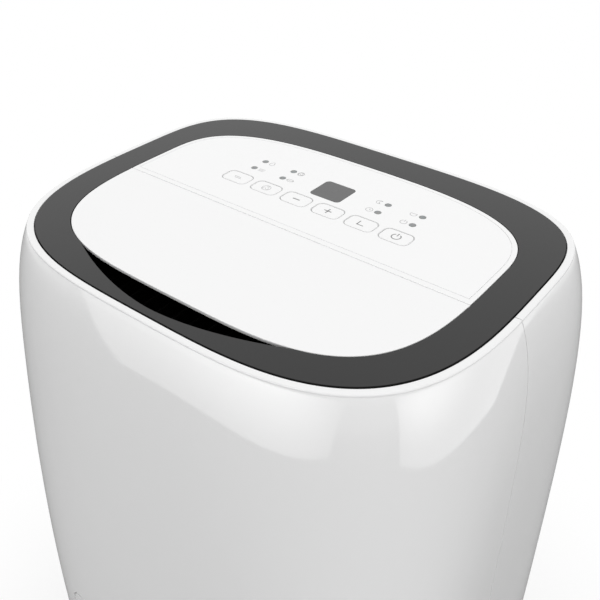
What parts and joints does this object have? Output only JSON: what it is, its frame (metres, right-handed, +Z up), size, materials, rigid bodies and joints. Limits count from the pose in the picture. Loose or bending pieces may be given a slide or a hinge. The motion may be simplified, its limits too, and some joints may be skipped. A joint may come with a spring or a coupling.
{
  "type": "dehumidifier",
  "caption": "Tall rounded white dehumidifier with a dark oval top ring, hinged outlet flap, key row, rear intake grille, pull-out water tank and castors.",
  "frame": {"origin": "floor level under the centre of the body's outline", "axes": "+X to the right along the front, +Y to the back, +Z up"},
  "size_m": [0.35, 0.2791, 0.53],
  "materials": {
    "white_shell": "polished gloss ABS",
    "white_panel": "satin gloss ABS",
    "white_film": "printed film",
    "key_white": "satin",
    "white_inner": "moulded",
    "ring_anthracite": "satin, fine spark texture",
    "grille_anthracite": "moulded",
    "deck_black": "moulded",
    "display_lens": "smoked",
    "light_pipe": "frosted",
    "circuit_board": "solder mask",
    "inner_plastic": "moulded polypropylene",
    "fan_plastic": "moulded",
    "base_plastic": "moulded",
    "steel": "zinc plated",
    "motor_metal": "die cast",
    "coil_fins": "thin pressed fins",
    "black_enamel": "black enamel",
    "copper": "drawn copper tube",
    "capacitor_can": "drawn can",
    "soft_rubber": "moulded",
    "filter_mesh": "woven nylon mesh in a frame",
    "tank_clear": "clear moulded",
    "window_clear": "clear moulded",
    "handle_grey": "moulded",
    "castor_nylon": "moulded nylon",
    "castor_tread": "hard rubber"
  },
  "bodies": {
    "cabinet": {"base_pan": "base_plastic", "front_shell": "white_shell", "rear_shell": "white_shell", "top_deck": "deck_black", "trim_ring": "ring_anthracite", "control_panel": "white_panel", "control_overlay": "white_film", "display_window": "display_lens", "indicator_lights": "light_pipe", "control_board": "circuit_board", "outlet_grille": "grille_anthracite", "outlet_duct": "inner_plastic", "fan_scroll": "inner_plastic", "fan_motor": "motor_metal", "partition": "inner_plastic", "coil_housing": "inner_plastic", "evaporator": "coil_fins", "condenser": "coil_fins", "drip_tray": "white_inner", "compressor": "black_enamel", "compressor_feet": "soft_rubber", "refrigerant_tubing": "copper", "filter_drier": "copper", "electronics_box": "inner_plastic", "capacitor": "capacitor_can", "humidity_sensor": "white_inner", "tank_switch": "deck_black", "cord_gland": "soft_rubber", "screws": "steel"},
    "flap": {"outlet_flap": "white_panel"},
    "key_mode": {"key_mode": "key_white"},
    "key_fan": {"key_fan": "key_white"},
    "key_minus": {"key_minus": "key_white"},
    "key_plus": {"key_plus": "key_white"},
    "key_timer": {"key_timer": "key_white"},
    "key_power": {"key_power": "key_white"},
    "fan": {"fan_impeller": "fan_plastic", "fan_shaft": "steel"},
    "intake": {"intake_grille": "white_shell", "air_filter": "filter_mesh"},
    "tank": {"water_tank": "tank_clear", "tank_front": "white_shell", "level_window": "window_clear", "tank_lid": "white_inner"},
    "tank_handle": {"tank_handle": "handle_grey"},
    "tank_float": {"tank_float": "white_inner"},
    "drain_cap": {"drain_cap": "soft_rubber"},
    "castor_fork_fl": {"castor_fork_fl": "castor_nylon"},
    "castor_wheel_fl": {"castor_wheel_fl": "castor_tread"},
    "castor_fork_fr": {"castor_fork_fr": "castor_nylon"},
    "castor_wheel_fr": {"castor_wheel_fr": "castor_tread"},
    "castor_fork_rl": {"castor_fork_rl": "castor_nylon"},
    "castor_wheel_rl": {"castor_wheel_rl": "castor_tread"},
    "castor_fork_rr": {"castor_fork_rr": "castor_nylon"},
    "castor_wheel_rr": {"castor_wheel_rr": "castor_tread"}
  },
  "joints": [
    {"name": "flap_hinge", "type": "hinge", "parent": "cabinet", "child": "flap", "pos_m": [0, -0.0093, 0.5285], "axis": [-1, 0, 0], "range_deg": [0, 60]},
    {"name": "key_mode_press", "type": "slide", "parent": "cabinet", "child": "key_mode", "axis": [0, 0, -1], "range_m": [0, 0.0006], "stiffness_N_per_m": 1500, "springref_m": -0.0002},
    {"name": "key_fan_press", "type": "slide", "parent": "cabinet", "child": "key_fan", "axis": [0, 0, -1], "range_m": [0, 0.0006], "stiffness_N_per_m": 1500, "springref_m": -0.0002},
    {"name": "key_minus_press", "type": "slide", "parent": "cabinet", "child": "key_minus", "axis": [0, 0, -1], "range_m": [0, 0.0006], "stiffness_N_per_m": 1500, "springref_m": -0.0002},
    {"name": "key_plus_press", "type": "slide", "parent": "cabinet", "child": "key_plus", "axis": [0, 0, -1], "range_m": [0, 0.0006], "stiffness_N_per_m": 1500, "springref_m": -0.0002},
    {"name": "key_timer_press", "type": "slide", "parent": "cabinet", "child": "key_timer", "axis": [0, 0, -1], "range_m": [0, 0.0006], "stiffness_N_per_m": 1500, "springref_m": -0.0002},
    {"name": "key_power_press", "type": "slide", "parent": "cabinet", "child": "key_power", "axis": [0, 0, -1], "range_m": [0, 0.0006], "stiffness_N_per_m": 1500, "springref_m": -0.0002},
    {"name": "fan_spin", "type": "hinge", "parent": "cabinet", "child": "fan", "pos_m": [0, -0.03, 0.35], "axis": [0, 1, 0], "continuous": true},
    {"name": "intake_pull", "type": "slide", "parent": "cabinet", "child": "intake", "axis": [0, 1, 0], "range_m": [0, 0.06]},
    {"name": "tank_slide", "type": "slide", "parent": "cabinet", "child": "tank", "axis": [0, -1, 0], "range_m": [0, 0.15]},
    {"name": "tank_handle_swing", "type": "hinge", "parent": "tank", "child": "tank_handle", "pos_m": [0, -0.062, 0.18], "axis": [-1, 0, 0], "range_deg": [0, 71]},
    {"name": "tank_float_swing", "type": "hinge", "parent": "tank", "child": "tank_float", "pos_m": [0.096, -0.024, 0.172], "axis": [0, 1, 0], "range_deg": [0, 22]},
    {"name": "drain_cap_pull", "type": "slide", "parent": "cabinet", "child": "drain_cap", "axis": [0, 1, 0], "range_m": [0, 0.012]},
    {"name": "castor_swivel_fl", "type": "hinge", "parent": "cabinet", "child": "castor_fork_fl", "pos_m": [-0.108, -0.082, 0.03], "axis": [0, 0, 1], "continuous": true},
    {"name": "castor_roll_fl", "type": "hinge", "parent": "castor_fork_fl", "child": "castor_wheel_fl", "pos_m": [-0.108, -0.073, 0.014], "axis": [1, 0, 0], "continuous": true},
    {"name": "castor_swivel_fr", "type": "hinge", "parent": "cabinet", "child": "castor_fork_fr", "pos_m": [0.108, -0.082, 0.03], "axis": [0, 0, 1], "continuous": true},
    {"name": "castor_roll_fr", "type": "hinge", "parent": "castor_fork_fr", "child": "castor_wheel_fr", "pos_m": [0.108, -0.073, 0.014], "axis": [1, 0, 0], "continuous": true},
    {"name": "castor_swivel_rl", "type": "hinge", "parent": "cabinet", "child": "castor_fork_rl", "pos_m": [-0.108, 0.09, 0.03], "axis": [0, 0, 1], "continuous": true},
    {"name": "castor_roll_rl", "type": "hinge", "parent": "castor_fork_rl", "child": "castor_wheel_rl", "pos_m": [-0.108, 0.099, 0.014], "axis": [1, 0, 0], "continuous": true},
    {"name": "castor_swivel_rr", "type": "hinge", "parent": "cabinet", "child": "castor_fork_rr", "pos_m": [0.108, 0.09, 0.03], "axis": [0, 0, 1], "continuous": true},
    {"name": "castor_roll_rr", "type": "hinge", "parent": "castor_fork_rr", "child": "castor_wheel_rr", "pos_m": [0.108, 0.099, 0.014], "axis": [1, 0, 0], "continuous": true}
  ]
}
